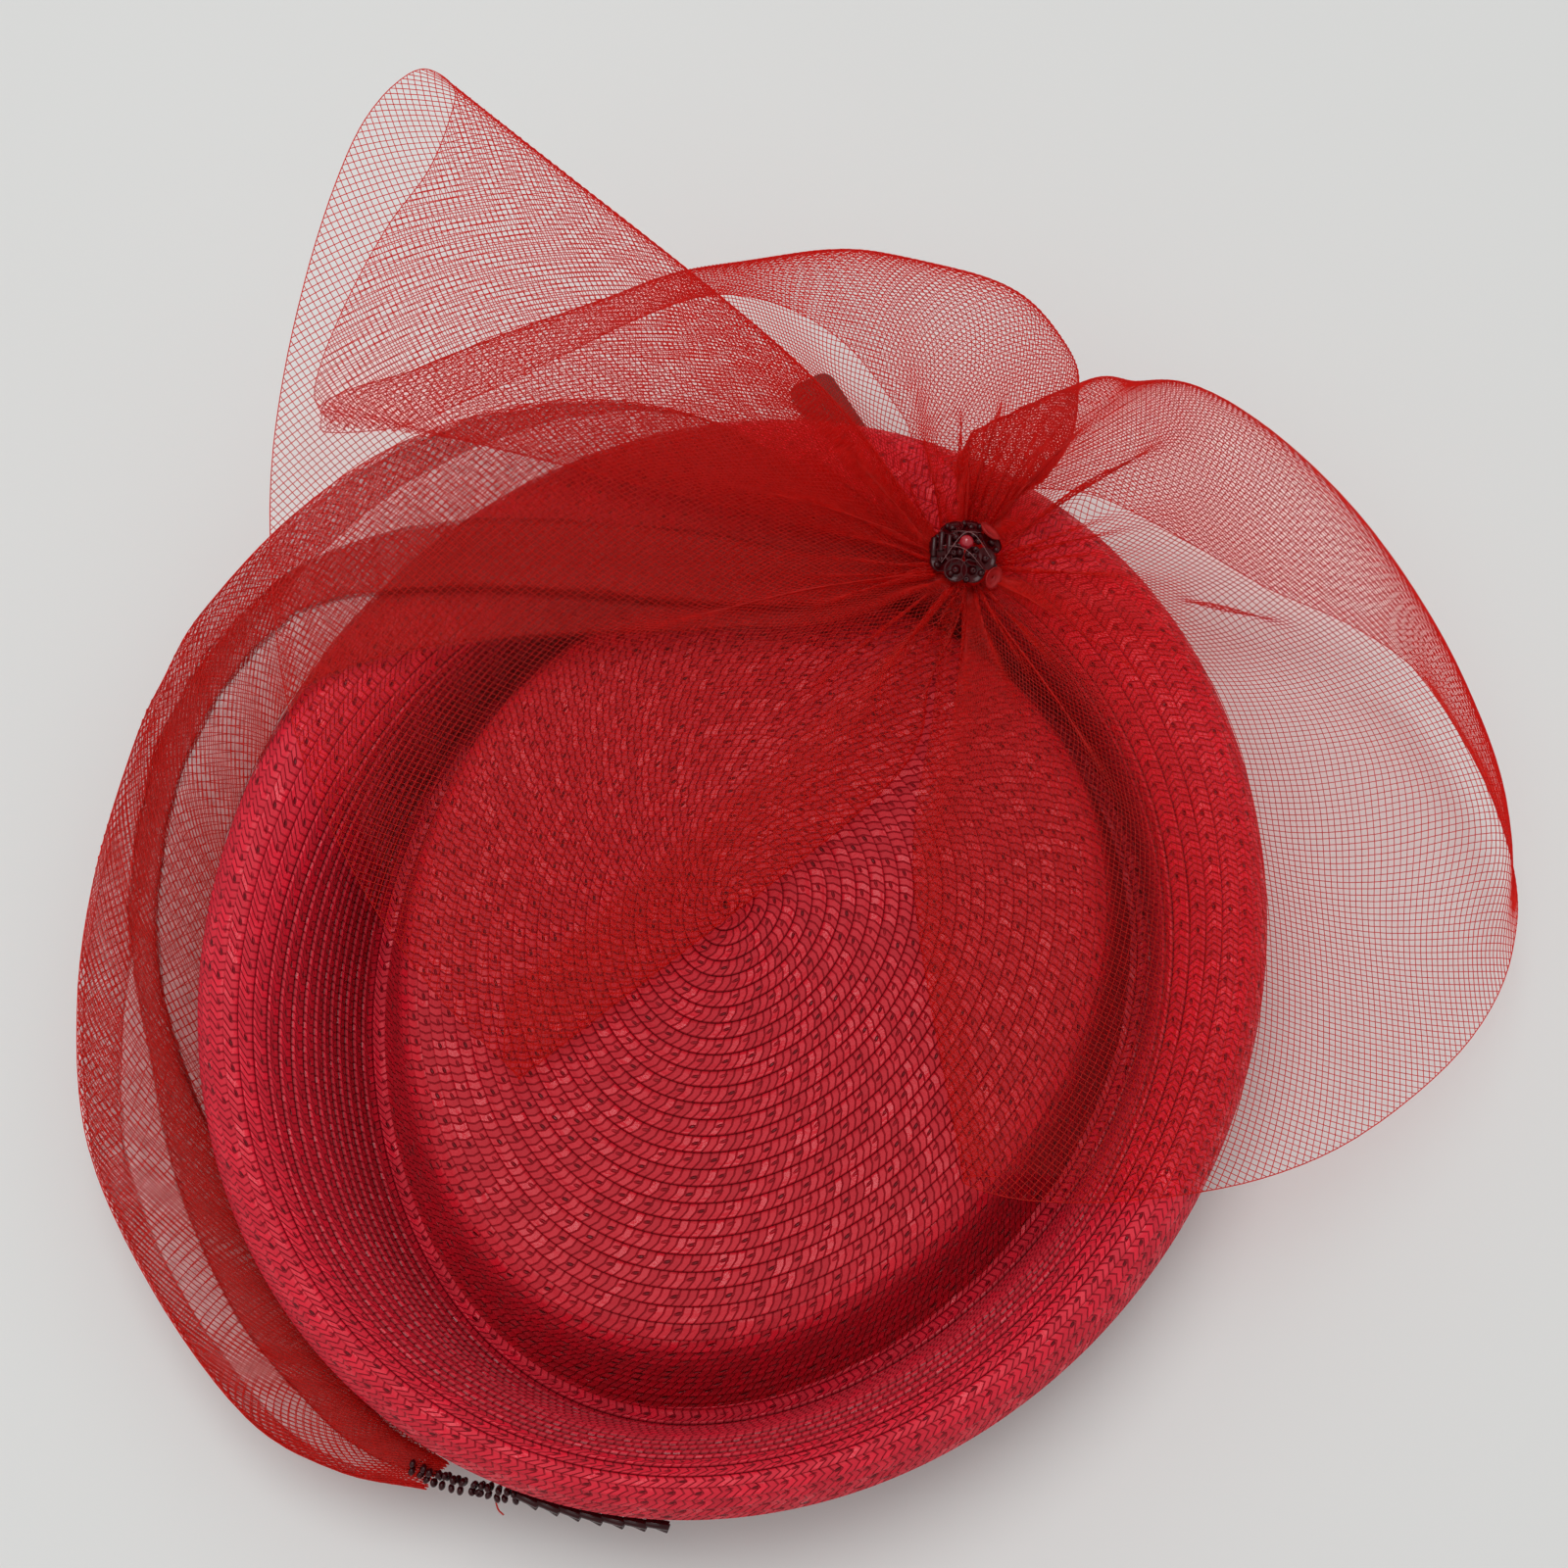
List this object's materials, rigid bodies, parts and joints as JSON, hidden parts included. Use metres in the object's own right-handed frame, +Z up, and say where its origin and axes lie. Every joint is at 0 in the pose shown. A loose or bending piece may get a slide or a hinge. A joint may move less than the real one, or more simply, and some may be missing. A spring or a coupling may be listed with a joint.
{
  "type": "straw percher hat fascinator with crinoline net bow",
  "caption": "Small oval straw hat with a rolled brim and a gathered crinoline net bow, knotted under a beaded flower.",
  "frame": {"origin": "middle of the footprint's bounding box, on the surface that the hat rests on", "axes": "+Z up out of the crown; +X to the right and +Y to the back as seen from the front; the hat's long axis lies 67 degrees from +X towards +Y"},
  "size_m": [0.3224, 0.2922, 0.1135],
  "materials": {
    "straw": "sewn straw braid, satin sheen",
    "net": "sheer nylon crinoline net",
    "dark_bead": "dark red glass seed and bugle beads",
    "red_pearl": "glossy round bead",
    "comb_plastic": "brown comb"
  },
  "bodies": {
    "root": {"crown": "straw", "brim": "straw", "net_fan_left": "net", "net_fan_left_under": "net", "net_loop_back": "net", "net_fan_right": "net", "net_sweep": "net", "gather_knot": "net", "bead_flower": "dark_bead", "flower_pearl": "red_pearl", "bead_trim": "dark_bead", "comb_bar": "comb_plastic"}
  },
  "joints": []
}
